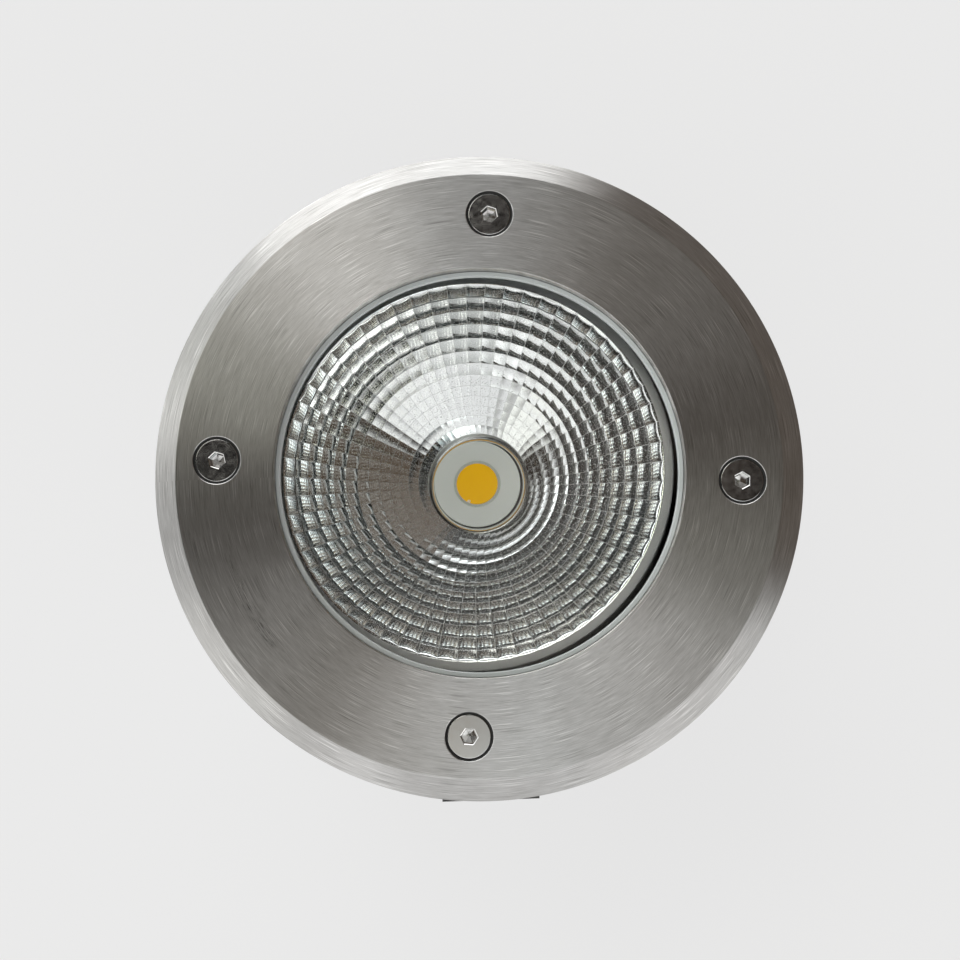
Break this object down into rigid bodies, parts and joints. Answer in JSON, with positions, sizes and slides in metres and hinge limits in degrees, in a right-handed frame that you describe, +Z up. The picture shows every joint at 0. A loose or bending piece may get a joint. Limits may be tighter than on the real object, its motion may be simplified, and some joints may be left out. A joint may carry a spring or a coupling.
{
  "type": "in-ground well light",
  "caption": "Round in-ground well light: stainless bezel and clear glass over a faceted reflector that tilts and turns, in a lamp that lifts out of its ground sleeve.",
  "frame": {"origin": "centre of the sleeve's foot, on the underside that rests in the ground", "axes": "+Z up along the sleeve's axis, out of the ground; +Y and -Y through the two flat conduit entries"},
  "size_m": [0.18, 0.18, 0.16],
  "materials": {
    "sleeve_plastic": "moulded, matt black",
    "stainless": "circularly brushed",
    "screw_steel": "plain bright",
    "clear_glass": "clear, polished",
    "gasket_rubber": "grey silicone",
    "cast_housing": "die cast, dark powder coat",
    "driver_case": "moulded, off-white",
    "zinc_sheet": "zinc plated sheet",
    "terminal_plastic": "moulded, cream",
    "earth_brass": "plain brass",
    "tray_aluminium": "mill finish sheet",
    "gland_metal": "nickel plated",
    "reflector_bright": "faceted, bright anodised",
    "holder_bright": "machined, bright",
    "substrate": "light grey coated board",
    "phosphor_gel": "yellow phosphor in silicone",
    "dam_gel": "white silicone",
    "pad_grey": "grey heat pad",
    "sink_aluminium": "black anodised"
  },
  "bodies": {
    "sleeve": {"mounting_sleeve": "sleeve_plastic"},
    "lamp": {"bezel": "stainless", "bezel_screws": "screw_steel", "glass": "clear_glass", "glass_gasket": "gasket_rubber", "lamp_housing": "cast_housing", "led_driver": "driver_case", "driver_strap": "zinc_sheet", "strap_screws": "screw_steel", "terminal_block": "terminal_plastic", "earth_screw": "earth_brass", "gear_tray": "tray_aluminium", "tray_screws": "screw_steel", "gland_body": "gland_metal", "gland_seal": "gasket_rubber", "gland_nut": "gland_metal", "pan_washer": "screw_steel", "pan_screw": "screw_steel"},
    "yoke": {"aiming_yoke": "zinc_sheet"},
    "optic": {"reflector": "reflector_bright", "cob_holder": "holder_bright", "holder_screws": "screw_steel", "cob_base": "substrate", "phosphor": "phosphor_gel", "phosphor_dam": "dam_gel", "thermal_pad": "pad_grey", "heat_sink": "sink_aluminium", "tilt_screws": "screw_steel", "tilt_washers": "screw_steel"}
  },
  "joints": [
    {"name": "lamp_lift", "type": "slide", "parent": "sleeve", "child": "lamp", "axis": [0, 0, 1], "range_m": [0, 0.15]},
    {"name": "optic_pan", "type": "hinge", "parent": "lamp", "child": "yoke", "pos_m": [0.00008, 0.0011, 0.07], "axis": [0, 0, 1], "continuous": true},
    {"name": "optic_tilt", "type": "hinge", "parent": "yoke", "child": "optic", "pos_m": [0.00008, 0.0011, 0.109], "axis": [0.5299, 0.848, 0], "range_deg": [-2.5, 12.5]}
  ]
}
